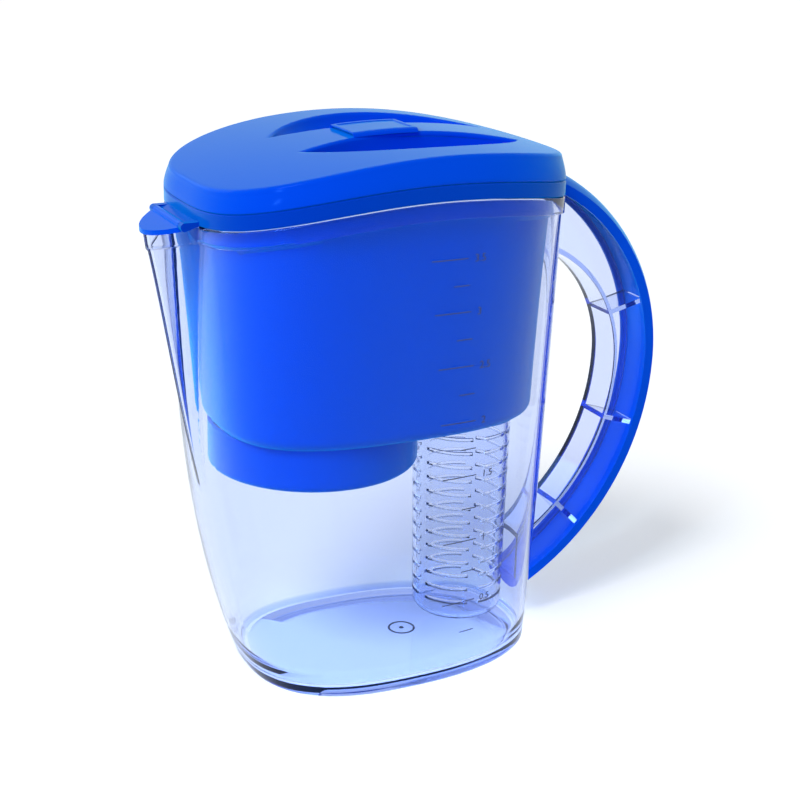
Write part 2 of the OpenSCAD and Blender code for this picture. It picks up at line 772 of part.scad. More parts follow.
module filter_media() {
    color("dimgray")
        on_well_axis()
            turned_ring(0, stack_radius, stack_base + pad_thick + part_gap,
                cartridge_top - cap_lip - pad_thick - 2 * part_gap);
}

module filter_top_pad() {
    color("white")
        on_well_axis()
            turned_ring(0, stack_radius, cartridge_top - cap_lip - pad_thick - part_gap,
                cartridge_top - cap_lip - part_gap);
}

// Cap of the cartridge with inlet slots and a lip inside the cup
module filter_cap() {
    slot_length = stack_radius / 2;
    color("whitesmoke")
        on_well_axis()
            difference() {
                union() {
                    turned_ring(0, cartridge_radius, cap_base, cap_base + cartridge_wall);
                    turned_ring(stack_radius - cartridge_wall, stack_radius, cartridge_top - cap_lip, cap_base);
                    turned_ring(0, stack_radius / 4, cap_base + cartridge_wall, cap_base + 2 * cartridge_wall);
                }
                for (i = [0 : inlet_slots - 1])
                    rotate([0, 0, 360 * i / inlet_slots])
                        translate([stack_radius / 3, -cartridge_wall / 2, cap_base - overrun])
                            cube([slot_length, cartridge_wall, cartridge_wall + 2 * overrun]);
            }
}

// Infuser: the ring lies between the tube's neck and the reservoir's underside
ring_top = reservoir_base - part_gap;
tube_top = ring_top - ring_thick - part_gap;

module on_tube_axis() {
    translate([tube_back, 0, 0])
        children();
}

module infuser_ring() {
    color("white")
        on_tube_axis()
            turned_ring(tube_radius - 2 * tube_wall, tube_radius, ring_top - ring_thick, ring_top);
}

// Half section of the tube: outside with a rounded foot, drawn in by an inset
module tube_section(inset) {
    foot_radius = tube_radius - tube_taper - inset;
    round_off = tube_round - inset;
    base = tube_base + inset;
    arc = [for (angle = [-90 : 15 : 0])
        [foot_radius - round_off + round_off * cos(angle), base + round_off + round_off * sin(angle)]];
    top = tube_top + (inset > 0 ? overrun : 0);
    polygon(concat([[0, base]], arc, [[tube_radius - inset, reservoir_base - collar_depth]],
        [[tube_radius - inset, top], [0, top]]));
}

// The clear tube with its rows of slots
module infuser_tube() {
    gap_degrees = 15;
    first_gap = 263;
    slot_degrees = 360 / slot_columns - gap_degrees;
    color("lightsteelblue", 0.35)
        on_tube_axis()
            difference() {
                rotate_extrude($fn = 96)
                    difference() {
                        tube_section(0);
                        tube_section(tube_wall);
                    }
                for (row = [0 : slot_rows - 1], column = [0 : slot_columns - 1])
                    rotate([0, 0, first_gap + gap_degrees / 2 + 360 * column / slot_columns])
                        translate([0, 0, first_row + slot_pitch * row - slot_height / 2])
                            rotate_extrude(angle = slot_degrees, $fn = 96)
                                translate([tube_radius - tube_taper - 3 * tube_wall, 0])
                                    square([tube_taper + 5 * tube_wall, slot_height]);
            }
}

jug_shell();
handle_channel();
handle_grip();
reservoir();
lid_shell();
lid_plate();
spout_flap();
filter_housing();
filter_cap();
filter_seal();
filter_top_pad();
filter_media();
filter_bottom_pad();
infuser_tube();
infuser_ring();
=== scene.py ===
# Clear blue water jug with a lift-out blue reservoir, filter cartridge, fruit infuser, lid and flap.
# Lengths in the dictionaries are millimetres, in the frame of the CAD model.
import math
import bmesh
import bpy
import numpy as np
from mathutils import Matrix, Vector


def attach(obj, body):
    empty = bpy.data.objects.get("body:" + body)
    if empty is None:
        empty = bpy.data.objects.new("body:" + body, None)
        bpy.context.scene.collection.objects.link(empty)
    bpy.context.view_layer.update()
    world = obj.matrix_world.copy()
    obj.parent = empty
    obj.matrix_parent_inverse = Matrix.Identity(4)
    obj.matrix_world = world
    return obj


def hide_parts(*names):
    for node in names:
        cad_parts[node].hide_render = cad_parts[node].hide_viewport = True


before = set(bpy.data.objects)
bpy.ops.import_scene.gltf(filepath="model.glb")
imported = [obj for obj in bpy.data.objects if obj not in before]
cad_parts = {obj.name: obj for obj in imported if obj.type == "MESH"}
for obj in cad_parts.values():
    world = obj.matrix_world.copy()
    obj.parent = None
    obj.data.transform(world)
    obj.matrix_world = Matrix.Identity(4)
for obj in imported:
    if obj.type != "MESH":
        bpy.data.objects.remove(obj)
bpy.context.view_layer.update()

mm = 0.001
nearAxis = 0.01  # a turned profile starts this far from its axis
print("frame loaded:", len(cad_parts), "nodes")


# small tools

def srgb(hexText, alpha=1.0):
    # each channel by the sRGB curve: a straight foot, then a power of 2.4
    parts = [int(hexText[i:i + 2], 16) / 255 for i in (1, 3, 5)]
    return tuple(c / 12.92 if c <= 0.04045 else ((c + 0.055) / 1.055) ** 2.4 for c in parts) + (alpha,)


def addNode(material, kind, settings=None, **links):
    # one node, its own settings, socket values by name, and links given as (node, output)
    node = material.node_tree.nodes.new(kind)
    for name, value in (settings or {}).items():
        if hasattr(node, name):
            setattr(node, name, value)
        else:
            node.inputs[name].default_value = value
    for name, source in links.items():
        socket = node.inputs[name.replace("_", " ")]
        material.node_tree.links.new(source[0].outputs[source[1]], socket)
    return node


def newMaterial(name):
    material = bpy.data.materials.new(name)
    material.use_nodes = True
    material.node_tree.nodes.clear()
    return material


def meshFrom(name, points, faces, flat=False):
    mesh = bpy.data.meshes.new(name)
    mesh.from_pydata(np.asarray(points).reshape(-1, 3).tolist(), [], faces)
    mesh.validate()
    if not flat:
        mesh.polygons.foreach_set("use_smooth", np.ones(len(mesh.polygons), dtype=bool))
    piece = bpy.data.objects.new(name, mesh)
    bpy.context.scene.collection.objects.link(piece)
    return piece


def skinFaces(rows, columns, firstCap=True, lastCap=True):
    # quads between neighbouring rings that close round, and one face over each end
    row, column = np.meshgrid(np.arange(rows - 1), np.arange(columns), indexing="ij")
    a = row * columns + column
    b = row * columns + (column + 1) % columns
    faces = np.stack([a, b, b + columns, a + columns], axis=-1).reshape(-1, 4).tolist()
    if firstCap:
        faces.append(list(range(columns))[::-1])
    if lastCap:
        faces.append(list(range((rows - 1) * columns, rows * columns)))
    return faces


def skin(name, rings):
    # a closed surface through rings of equal count, running up outside and down inside
    rings = np.stack(rings)
    return meshFrom(name, rings * mm, skinFaces(rings.shape[0], rings.shape[1]))


def lathe(name, profile, centre, steps=128, closed=False):
    # each profile point (radius, height) turned about a vertical axis at centre
    profile = np.asarray(profile, dtype=float)
    turn = np.linspace(0, 2 * math.pi, steps, endpoint=False)
    x = centre[0] + profile[:, :1] * np.cos(turn)
    y = centre[1] + profile[:, :1] * np.sin(turn)
    z = np.repeat(profile[:, 1:2], steps, axis=1)
    rings = np.stack([x, y, z], axis=-1)
    if closed:
        rings = np.concatenate([rings, rings[:1]])
        faces = skinFaces(len(rings), steps, False, False)
        piece = meshFrom(name, rings * mm, faces)
        return welded(piece)
    return meshFrom(name, rings * mm, skinFaces(len(rings), steps))


def welded(piece, distance=1e-6, outward=False):
    # points in one place become one, and faces can be turned outwards
    shell = bmesh.new()
    shell.from_mesh(piece.data)
    bmesh.ops.remove_doubles(shell, verts=shell.verts, dist=distance)
    if outward:
        bmesh.ops.recalc_face_normals(shell, faces=shell.faces)
    shell.to_mesh(piece.data)
    shell.free()
    return piece


def sharpen(piece, degrees):
    # smooth shading, with an edge kept crisp where its faces meet at more than this angle
    piece.data.polygons.foreach_set("use_smooth", np.ones(len(piece.data.polygons), dtype=bool))
    piece.data.set_sharp_from_angle(angle=math.radians(degrees))
    return piece


def carve(piece, other, operation):
    # an exact boolean with another piece, which is then removed
    cut = piece.modifiers.new("cut", "BOOLEAN")
    cut.object = other
    cut.operation = operation
    cut.solver = "EXACT"
    settled(piece)
    bpy.data.objects.remove(other)
    return piece


def settled(piece):
    # the modifiers' result becomes the piece's own mesh
    graph = bpy.context.evaluated_depsgraph_get()
    result = bpy.data.meshes.new_from_object(piece.evaluated_get(graph))
    piece.modifiers.clear()
    piece.data = result
    return piece


def joined(pieces):
    # several pieces become one, under the first one's name
    with bpy.context.temp_override(active_object=pieces[0], object=pieces[0],
            selected_editable_objects=pieces, selected_objects=pieces):
        bpy.ops.object.join()
    return pieces[0]


def nodeObject(node):
    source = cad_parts[node]
    return bpy.data.objects[source] if isinstance(source, str) else source


def copyOfNode(name, node, distance=2e-6):
    # a CAD node's mesh as a piece of its own, its loose triangles joined
    piece = bpy.data.objects.new(name, nodeObject(node).data.copy())
    bpy.context.scene.collection.objects.link(piece)
    piece.data.materials.clear()
    return welded(piece, distance)


def eased(piece, width, degrees=35, segments=2):
    # moulded edges: a small round wherever two faces meet at a corner
    bevel = piece.modifiers.new("ease", "BEVEL")
    bevel.width = width * mm
    bevel.segments = segments
    bevel.limit_method = "ANGLE"
    bevel.angle_limit = math.radians(degrees)
    bevel.harden_normals = False
    settled(piece)
    sharpen(piece, degrees)
    # the wide faces set the shading, so a flat wall refracts as a flat wall up to its rounded edge
    even = piece.modifiers.new("even", "WEIGHTED_NORMAL")
    even.mode = "FACE_AREA"
    even.weight = 90
    even.keep_sharp = True
    return settled(piece)


def finishPiece(piece, body, slot, material, *replaced):
    piece.data.materials.clear()
    piece.data.materials.append(material)
    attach(piece, body)
    if replaced:
        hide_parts(*replaced)
    if material is clearPlastic:
        piece.visible_shadow = False  # light passes a clear wall, so it throws no hard shadow
    return piece


# materials

def clearStyrene():
    # moulded styrene acrylonitrile, polished: a clear wall that looks navy only along its edges
    material = newMaterial("clear styrene acrylonitrile, moulded")
    coords = addNode(material, "ShaderNodeTexCoord")
    flow = addNode(material, "ShaderNodeTexNoise", {"Scale": 24.0, "Detail": 1.0}, Vector=(coords, "Object"))
    wave = addNode(material, "ShaderNodeBump", {"Strength": 0.05, "Distance": 0.0012}, Height=(flow, "Fac"))
    # below about 5 mm the floor and foot get a bluer, darker tint than the wall
    height = addNode(material, "ShaderNodeSeparateXYZ", None, Vector=(coords, "Object"))
    nearFloor = addNode(material, "ShaderNodeMapRange", {"From Min": 0.0055, "From Max": 0.0035},
        Value=(height, "Z"))
    tint = addNode(material, "ShaderNodeMixRGB", {"Color1": srgb("#F4F7FF"), "Color2": srgb("#B9CCF8")},
        Fac=(nearFloor, "Result"))
    wall = addNode(material, "ShaderNodeBsdfPrincipled", {
        "Roughness": 0.01, "IOR": 1.5, "Transmission Weight": 1.0,
        "Specular Tint": srgb("#5A92FF")}, Base_Color=(tint, "Color"), Normal=(wave, "Normal"))
    depth = addNode(material, "ShaderNodeVolumeAbsorption", {"Color": srgb("#0086F0"), "Density": 42.0})
    addNode(material, "ShaderNodeOutputMaterial", None, Surface=(wall, "BSDF"), Volume=(depth, "Volume"))
    return material


def polishedBlue(name, colour):
    # moulded in a polished tool: saturated cobalt under a clear gloss; the azure at a glancing angle is a
    # painted sheen that lightens faces seen at a slant, such as the lid's top
    material = newMaterial(name)
    coords = addNode(material, "ShaderNodeTexCoord")
    flow = addNode(material, "ShaderNodeTexNoise", {"Scale": 60.0, "Detail": 3.0}, Vector=(coords, "Object"))
    shine = addNode(material, "ShaderNodeMapRange", {"To Min": 0.1, "To Max": 0.16}, Value=(flow, "Fac"))
    grain = addNode(material, "ShaderNodeTexNoise", {"Scale": 90.0, "Detail": 1.0}, Vector=(coords, "Object"))
    skinBump = addNode(material, "ShaderNodeBump", {"Strength": 0.03, "Distance": 0.0005},
        Height=(grain, "Fac"))
    gloss = addNode(material, "ShaderNodeBsdfPrincipled", {
        "Base Color": srgb(colour), "IOR": 1.53, "Specular IOR Level": 0.05, "Specular Tint": srgb("#5A9CFF"),
        # painted sheen: an azure lobe that the plastic itself doesn't have, for the brighter light on the
        # lid's top
        "Sheen Weight": 1.0, "Sheen Roughness": 0.5, "Sheen Tint": srgb("#12BCFF")},
        Roughness=(shine, "Result"), Normal=(skinBump, "Normal"))
    addNode(material, "ShaderNodeOutputMaterial", None, Surface=(gloss, "BSDF"))
    return material


def whitePolypropylene():
    # polypropylene as moulded: slightly waxy white
    material = newMaterial("white polypropylene, moulded")
    coords = addNode(material, "ShaderNodeTexCoord")
    grain = addNode(material, "ShaderNodeTexNoise", {"Scale": 900.0, "Detail": 3.0}, Vector=(coords, "Object"))
    bump = addNode(material, "ShaderNodeBump", {"Strength": 0.1, "Distance": 0.0002}, Height=(grain, "Fac"))
    wax = addNode(material, "ShaderNodeBsdfPrincipled", {
        "Base Color": srgb("#ECECE8"), "Roughness": 0.42, "IOR": 1.49, "Subsurface Weight": 0.1,
        "Subsurface Radius": (0.001, 0.001, 0.001)}, Normal=(bump, "Normal"))
    addNode(material, "ShaderNodeOutputMaterial", None, Surface=(wax, "BSDF"))
    return material


def milkySilicone():
    # cured silicone: soft, translucent and dull
    material = newMaterial("silicone, milky, moulded")
    coords = addNode(material, "ShaderNodeTexCoord")
    dust = addNode(material, "ShaderNodeTexNoise", {"Scale": 400.0, "Detail": 4.0}, Vector=(coords, "Object"))
    dull = addNode(material, "ShaderNodeMapRange", {"To Min": 0.42, "To Max": 0.6}, Value=(dust, "Fac"))
    soft = addNode(material, "ShaderNodeBsdfPrincipled", {
        "Base Color": srgb("#DDE4EC"), "IOR": 1.41, "Subsurface Weight": 0.35,
        "Subsurface Radius": (0.002, 0.002, 0.002)}, Roughness=(dull, "Result"))
    addNode(material, "ShaderNodeOutputMaterial", None, Surface=(soft, "BSDF"))
    return material


def pressedFelt():
    # pressed polyester felt: tangled fibres about 0.2 mm apart
    material = newMaterial("polyester felt, pressed")
    coords = addNode(material, "ShaderNodeTexCoord")
    fibre = addNode(material, "ShaderNodeTexNoise", {"Scale": 2500.0, "Detail": 6.0, "Distortion": 2.0},
        Vector=(coords, "Object"))
    fluff = addNode(material, "ShaderNodeBump", {"Strength": 0.6, "Distance": 0.0004}, Height=(fibre, "Fac"))
    cloth = addNode(material, "ShaderNodeBsdfPrincipled", {
        "Base Color": srgb("#F0EEE6"), "Roughness": 0.95, "Sheen Weight": 0.3}, Normal=(fluff, "Normal"))
    addNode(material, "ShaderNodeOutputMaterial", None, Surface=(cloth, "BSDF"))
    return material


def carbonGranules():
    # coconut carbon, crushed and packed: matt black grains about 1 mm across
    material = newMaterial("granular activated carbon, packed")
    coords = addNode(material, "ShaderNodeTexCoord")
    grains = addNode(material, "ShaderNodeTexVoronoi", {"Scale": 900.0}, Vector=(coords, "Object"))
    heap = addNode(material, "ShaderNodeBump", {"Strength": 0.8, "Distance": 0.0006},
        Height=(grains, "Distance"))
    tone = addNode(material, "ShaderNodeValToRGB", None, Fac=(grains, "Distance"))
    tone.color_ramp.elements[0].color = srgb("#101010")
    tone.color_ramp.elements[1].color = srgb("#2E2D2C")
    bed = addNode(material, "ShaderNodeBsdfPrincipled", {"Roughness": 0.85},
        Base_Color=(tone, "Color"), Normal=(heap, "Normal"))
    addNode(material, "ShaderNodeOutputMaterial", None, Surface=(bed, "BSDF"))
    return material


clearPlastic = clearStyrene()
bluePlastic = polishedBlue("blue ABS, injection moulded", "#0046EA")
# the same finish on another plastic with its own blue, set a little deeper than the lid as painted shade for
# the reservoir inside the jug
reservoirPlastic = polishedBlue("blue polypropylene, injection moulded", "#0038C6")
whitePlastic = whitePolypropylene()
softRing = milkySilicone()
felt = pressedFelt()
carbon = carbonGranules()
print("materials made")

# the jug's outline, as in the CAD source

outline = {
    "rimHeight": 240.8, "archRadius": 345, "archForward": 18.75,
    "baseFront": 88.7, "baseRear": 60.2, "baseHalf": 54, "baseMid": 23.5,
    "rimFront": 116.2, "rimRear": 60.6, "rimHalf": 70.8, "rimMid": 29,
    "basePowers": (2.6, 2.3), "rimPowers": (3, 2.95), "swells": (3.3, 1.55), "levelShare": 0.6,
    "spoutTip": 134.75, "spoutHalf": 20.6, "spoutFoot": 100, "spoutRound": 0.25, "spoutFootShare": 0.35,
    "bandOutset": 1.2, "bandHeight": 7.8, "wall": 2.5, "footRise": 1.2, "footWidth": 4, "floorTop": 4,
    "columns": 180, "spoutColumns": 56,
}

spoutSpan = math.radians(15)
around = np.concatenate([
    np.linspace(0, math.pi - spoutSpan, outline["columns"] // 2, endpoint=False),
    np.linspace(math.pi - spoutSpan, math.pi + spoutSpan, outline["spoutColumns"], endpoint=False),
    np.linspace(math.pi + spoutSpan, 2 * math.pi, outline["columns"] // 2, endpoint=False)])


def blend(a, b, share):
    return a + (b - a) * share


def swell(share, power):
    return 1 - (1 - min(share, 1)) ** power


def rimZ(x):
    return outline["rimHeight"] - (x + outline["archForward"]) ** 2 / (2 * outline["archRadius"])


def planRing(share, insets, spoutHeight):
    # a rounded outline: distance = ((|cos|/length)^n + (|sin|/half)^n)^(-1/n), plus the spout's bump
    front, rear, side = insets if isinstance(insets, tuple) else (insets, insets, insets)
    swelled = swell(share, outline["swells"][1])
    middle = -blend(outline["baseMid"], outline["rimMid"], swelled)
    lengthFront = blend(outline["baseFront"], outline["rimFront"], swell(share, outline["swells"][0]))
    lengthFront = lengthFront + middle - front
    lengthRear = blend(outline["baseRear"], outline["rimRear"], swelled) - middle - rear
    half = blend(outline["baseHalf"], outline["rimHalf"], swelled) - side
    ahead = np.cos(around) < 0
    length = np.where(ahead, lengthFront, lengthRear)
    power = np.where(ahead, blend(outline["basePowers"][0], outline["rimPowers"][0], swelled),
        blend(outline["basePowers"][1], outline["rimPowers"][1], swelled))
    reach = ((np.abs(np.cos(around)) / length) ** power
        + (np.abs(np.sin(around)) / half) ** power) ** (-1 / power)
    x = middle + reach * np.cos(around)
    y = reach * np.sin(around)
    spout = (spoutHeight - outline["spoutFoot"]) / (outline["rimHeight"] - outline["spoutFoot"])
    if spout > 0:
        width = outline["spoutHalf"] * blend(outline["spoutFootShare"], 1, spout) - max(side, 0)
        edge = math.sqrt(1 + outline["spoutRound"] ** 2)
        here = np.sqrt((y / width) ** 2 + outline["spoutRound"] ** 2)
        section = np.maximum(0, (edge - here) / (edge - outline["spoutRound"]))
        tip = spout * (outline["spoutTip"] - outline["rimFront"] + min(front, 0))
        x = x - np.where(ahead, tip * section, 0)
    return x, y


def wallRing(share, insets, withSpout=True, rise=0):
    # level rings low down that follow the rim's arch more and more towards the rim
    x, y = planRing(share, insets, outline["rimHeight"] * share if withSpout else 0)
    weight = max(0, (share - outline["levelShare"]) / (1 - outline["levelShare"])) ** 2
    z = blend(outline["rimHeight"], rimZ(x), weight) - outline["rimHeight"] * (1 - share) + rise
    return np.stack([x, y, z], axis=-1)


def rimRing(inset, rise, withSpout=False):
    x, y = planRing(1, inset, outline["rimHeight"] + min(rise, 0) if withSpout else 0)
    return np.stack([x, y, rimZ(x) + rise], axis=-1)


def shrunk(ring, share):
    # a ring drawn towards its middle, to cover a flat floor with even faces
    centre = ring.mean(axis=0)
    return centre + (ring - centre) * share


def capRings(ring):
    # from near the middle of a flat floor towards its edge
    return [shrunk(ring, s) for s in (0.02, 0.35, 0.7)]


# clear jug

def makeJug(look):
    wall, band, out, foot = outline["wall"], outline["bandHeight"], outline["bandOutset"], outline["footRise"]
    topShare = 1 - band / outline["rimHeight"] - look["endShare"]
    corners = np.radians(np.linspace(0, 90, look["cornerSteps"]))
    r = look["edge"]
    footShare = foot / outline["rimHeight"]
    under = wallRing(footShare, outline["footWidth"] + foot)
    rings = capRings(under) + [under, wallRing(0, outline["footWidth"])]
    # the heel rounds up from the foot ring to the wall
    rings += [wallRing(0, foot + look["heelFlat"]), wallRing(look["heelShare"], foot * look["heelInset"])]
    rings += [wallRing(footShare, 0)]
    rings += [wallRing(s, 0) for s in np.linspace(look["endShare"], topShare, look["rows"])]
    # the step out to the band, as outset and rise from the band's foot
    soft = look["bandSoft"]
    for outset, rise in ((0, -0.5), (0, -0.05), (0.15, 0), (out - soft, 0), (out, soft)):
        rings.append(rimRing(-outset, rise - band, True))
    rings += [rimRing(-out, -r, True)]
    rings += [rimRing(-out + r * (1 - math.cos(c)), -r * (1 - math.sin(c)), True) for c in corners[1:]]
    rings += [rimRing(wall - r * (1 - math.sin(c)), -r * (1 - math.cos(c)), True) for c in corners]
    rings += [rimRing(wall, -band, True)]
    rings += [wallRing(s, wall) for s in np.linspace(topShare, look["insideShare"], look["rows"])]
    inner, floorShare = look["floorRound"], outline["floorTop"] / outline["rimHeight"]
    for c in np.radians(np.linspace(0, 90, 9)):
        inset, rise = wall + inner * (1 - math.cos(c)), inner * (1 - math.sin(c))
        rings.append(wallRing(floorShare, inset, False, rise))
    rings += capRings(rings[-1])[::-1]
    return sharpen(skin("jugWall", rings), 50)


jugLook = {
    "rows": 44, "edge": 0.9, "cornerSteps": 5, "floorRound": 5, "bandSoft": 0.35,
    "endShare": 0.012, "insideShare": 0.05, "heelFlat": 0.6, "heelShare": 0.0012, "heelInset": 0.45,
}
jugPiece = makeJug(jugLook)
finishPiece(jugPiece, "jug", "clear_blue", clearPlastic, "jug_shell")
print("jug made")

# handle: the CAD forms with moulded edges

channelPiece = eased(copyOfNode("handleChannel", "handle_channel", 3e-5), 0.5)
finishPiece(channelPiece, "jug", "clear_blue", clearPlastic, "handle_channel")
gripPiece = eased(copyOfNode("handleGrip", "handle_grip"), 0.45, 30)
finishPiece(gripPiece, "jug", "blue_gloss", bluePlastic, "handle_grip")
print("handle made")

# reservoir

reservoir = {
    "base": 126, "wall": 2.2, "band": 7.6, "bandWidth": 3.4, "bandEdge": 0.5, "seat": 3.0,
    "shoulder": 8, "upperGap": 3, "gap": 0.3, "frontGap": 8, "rearGap": 3, "sideGap": 7.5,
    "slideGap": 0.6, "round": 6, "rows": 12,
    "wellX": -53.6, "wellRadius": 50, "wellDepth": 20.6, "outlet": 15, "wellRound": 3,
    "boreFoot": 1, "boreEdge": 0.6, "tubeX": 27.2, "collarRadius": 27.5, "collarWall": 2, "collarDepth": 8,
    "collarEdge": 0.4, "tubeGap": 0.2, "overlap": 1, "cutPast": 3,
}


def makeReservoir(v):
    wall, gap = v["wall"], v["gap"]
    upper, shoulder = outline["wall"] + v["upperGap"], outline["wall"] + v["slideGap"]

    def foot(inset, floor, radius, corner):
        extra = inset + radius * (1 - math.cos(corner))
        insets = (outline["wall"] + v["frontGap"] + extra, outline["wall"] + v["rearGap"] + extra,
            outline["wall"] + v["sideGap"] + extra)
        rise = floor - v["base"] + radius * (1 - math.sin(corner))
        return wallRing(v["base"] / outline["rimHeight"], insets, False, rise)

    def body(inset, floor, radius):
        # straight lines from the rounded foot up to the shoulder
        low = foot(inset, floor, radius, 0)
        high = rimRing(upper + inset, -v["shoulder"] - v["upperGap"])
        return [blend(low, high, s) for s in np.linspace(0, 1, v["rows"])]

    lowRound = [foot(0, v["base"], v["round"], c) for c in np.radians(np.linspace(90, 0, 9))]
    inside = v["base"] + wall
    highRound = [foot(wall, inside, v["round"] - wall, c) for c in np.radians(np.linspace(0, 90, 9))]
    out, e = outline["bandOutset"], v["bandEdge"]
    rings = capRings(lowRound[0]) + lowRound + body(0, v["base"], v["round"])[1:]
    rings += [rimRing(shoulder, -v["shoulder"]), rimRing(shoulder, gap), rimRing(-out + e, gap)]
    rings += [rimRing(-out, gap + e), rimRing(-out, v["band"] - gap - e), rimRing(-out + e, v["band"] - gap)]
    rings += [rimRing(v["bandWidth"] - out, v["band"] - gap), rimRing(v["bandWidth"] - out, v["seat"])]
    rings += [rimRing(shoulder + wall, 0), rimRing(shoulder + wall, -v["shoulder"])]
    rings += body(wall, inside, v["round"] - wall)[::-1] + highRound[1:]
    rings += capRings(rings[-1])[::-1]
    piece = skin("reservoirTub", rings)

    # the well and the collar stand down from the floor: first their outsides, then their insides
    wellFloor, r, past = v["base"] - v["wellDepth"], v["wellRound"], v["cutPast"]
    joint = v["base"] + v["overlap"]
    corner = np.radians(np.linspace(-90, 0, 7))
    lowEdge = [(v["wellRadius"] - r + r * math.cos(c), wellFloor + r + r * math.sin(c)) for c in corner]
    well = lathe("well", [(nearAxis, wellFloor)] + lowEdge + [(v["wellRadius"], joint), (nearAxis, joint)],
        (v["wellX"], 0), 160)
    carve(piece, well, "UNION")
    collarFoot, e = v["base"] - v["collarDepth"], v["collarEdge"]
    collar = lathe("collar", [(nearAxis, collarFoot), (v["collarRadius"] - e, collarFoot),
        (v["collarRadius"], collarFoot + e), (v["collarRadius"], joint), (nearAxis, joint)],
        (v["tubeX"], 0), 128)
    carve(piece, collar, "UNION")
    bore, e = v["wellRadius"] - wall, v["boreEdge"]
    wellSpace = lathe("wellSpace", [(nearAxis, wellFloor + wall), (bore - v["boreFoot"], wellFloor + wall),
        (bore, wellFloor + wall + v["boreFoot"]), (bore, inside - e), (bore + e, inside + 0.02),
        (bore + e, inside + past), (nearAxis, inside + past)], (v["wellX"], 0), 160)
    carve(piece, wellSpace, "DIFFERENCE")
    outlet = lathe("outlet", [(nearAxis, wellFloor - past), (v["outlet"], wellFloor - past),
        (v["outlet"], wellFloor + wall + v["overlap"]), (nearAxis, wellFloor + wall + v["overlap"])],
        (v["wellX"], 0), 96)
    carve(piece, outlet, "DIFFERENCE")
    collarBore = v["collarRadius"] - v["collarWall"] + v["tubeGap"]
    space = lathe("collarSpace", [(nearAxis, collarFoot - past), (collarBore, collarFoot - past),
        (collarBore, v["base"]), (nearAxis, v["base"])], (v["tubeX"], 0), 128)
    carve(piece, space, "DIFFERENCE")
    return sharpen(piece, 35)


shelf = {
    "axisX": -122.9, "axisZ": 227.28, "barrel": 1.9, "gap": 0.3, "thick": 2.2, "back": -116,
    "earInner": 18.3, "earWidth": 4,
}


def prism(name, side, start, end):
    # a side view (x, z) given a width along Y
    side = np.asarray(side, dtype=float)
    ends = [np.column_stack([side[:, 0], np.full(len(side), y), side[:, 1]]) for y in (start, end)]
    piece = meshFrom(name, np.stack(ends) * mm, skinFaces(2, len(side)))
    return welded(piece, 1e-7, True)


def makeShelf(v):
    # the strip behind the flap's barrel follows the rim, and each ear is a bar with a round nose
    x = np.linspace(v["axisX"] + v["barrel"] + v["gap"], v["back"], 7)
    low = np.column_stack([x, rimZ(x) + v["gap"]])
    reach = v["earInner"] + v["earWidth"]
    pieces = [prism("flapShelf", np.concatenate([low, low[::-1] + [0, v["thick"]]]), -reach, reach)]
    nose = np.radians(np.linspace(90, 270, 17))
    bar = [(v["axisX"] + v["barrel"] * math.cos(a), v["axisZ"] + v["barrel"] * math.sin(a)) for a in nose]
    bar += [(v["back"], rimZ(v["back"]) + v["gap"]), (v["back"], v["axisZ"] + v["barrel"])]
    for side in (-1, 1):
        pieces.append(prism("ear", bar, side * v["earInner"], side * reach))
    for other in pieces[1:]:
        carve(pieces[0], other, "UNION")
    return eased(pieces[0], 0.4, 40)


finishPiece(makeShelf(shelf), "reservoir", "blue_gloss", reservoirPlastic)
reservoirPiece = makeReservoir(reservoir)
finishPiece(reservoirPiece, "reservoir", "blue_gloss", reservoirPlastic, "reservoir")
print("reservoir made")

# lid, with its pockets, bridge and plate

lid = {
    "crest": 260.3, "archRadius": 285.7, "crestForward": 15.2, "crown": 1.2, "lean": 2.2, "edge": 1.8,
    "wall": 2.2, "skirt": 4, "skirtInset": 2.8, "pocketForward": 13.5, "pocketRadius": 62.7,
    "pocketOffset": 12.7, "bridgeHalf": 13, "bridgeFlare": 7, "pocketDepth": 13, "pocketSlope": 9,
    "pocketUndercut": 2, "rimRound": 1.8, "brimReach": 0.92, "floorRound": 4, "floorDip": 0.6,
    "cutPast": 4, "bandSoft": 0.4, "middleShare": 0.03, "edgeShare": 0.985, "sideFrom": 0.06,
    "sideCurve": 1.5,
}


def lidZ(x, y):
    # an arc along the lid, with a little crown across it
    arc = lid["crest"] - (x + lid["crestForward"]) ** 2 / (2 * lid["archRadius"])
    return arc + lid["crown"] * (1 - (y / outline["rimHalf"]) ** 2)


def lidRing(inset, drop, share=1.0):
    x, y = planRing(1, inset, 0)
    x, y = blend(-outline["rimMid"], x, share), y * share
    return np.stack([x, y, lidZ(x, y) - drop], axis=-1)


def pocketPlan(side, outset, slope, undercut, steps=48):
    # a lens: an outer arc of the pocket's radius, and an inner edge that flares as (x/half)^2
    radius = lid["pocketRadius"] + outset - slope
    bridge = lid["bridgeHalf"] - outset - undercut
    half = math.sqrt(radius ** 2 - (bridge + lid["bridgeFlare"] + lid["pocketOffset"]) ** 2)
    t = np.linspace(0, math.pi, steps + 1)
    x = half * np.cos(t)
    outer = np.stack([x, np.sqrt(radius ** 2 - x ** 2) - lid["pocketOffset"]], axis=-1)
    back = x[::-1][1:-1]
    inner = np.stack([back, bridge + lid["bridgeFlare"] * (back / half) ** 2], axis=-1)
    ring = np.concatenate([outer, inner]) - [lid["pocketForward"], 0]
    return ring if side > 0 else (ring * [1, -1])[::-1]


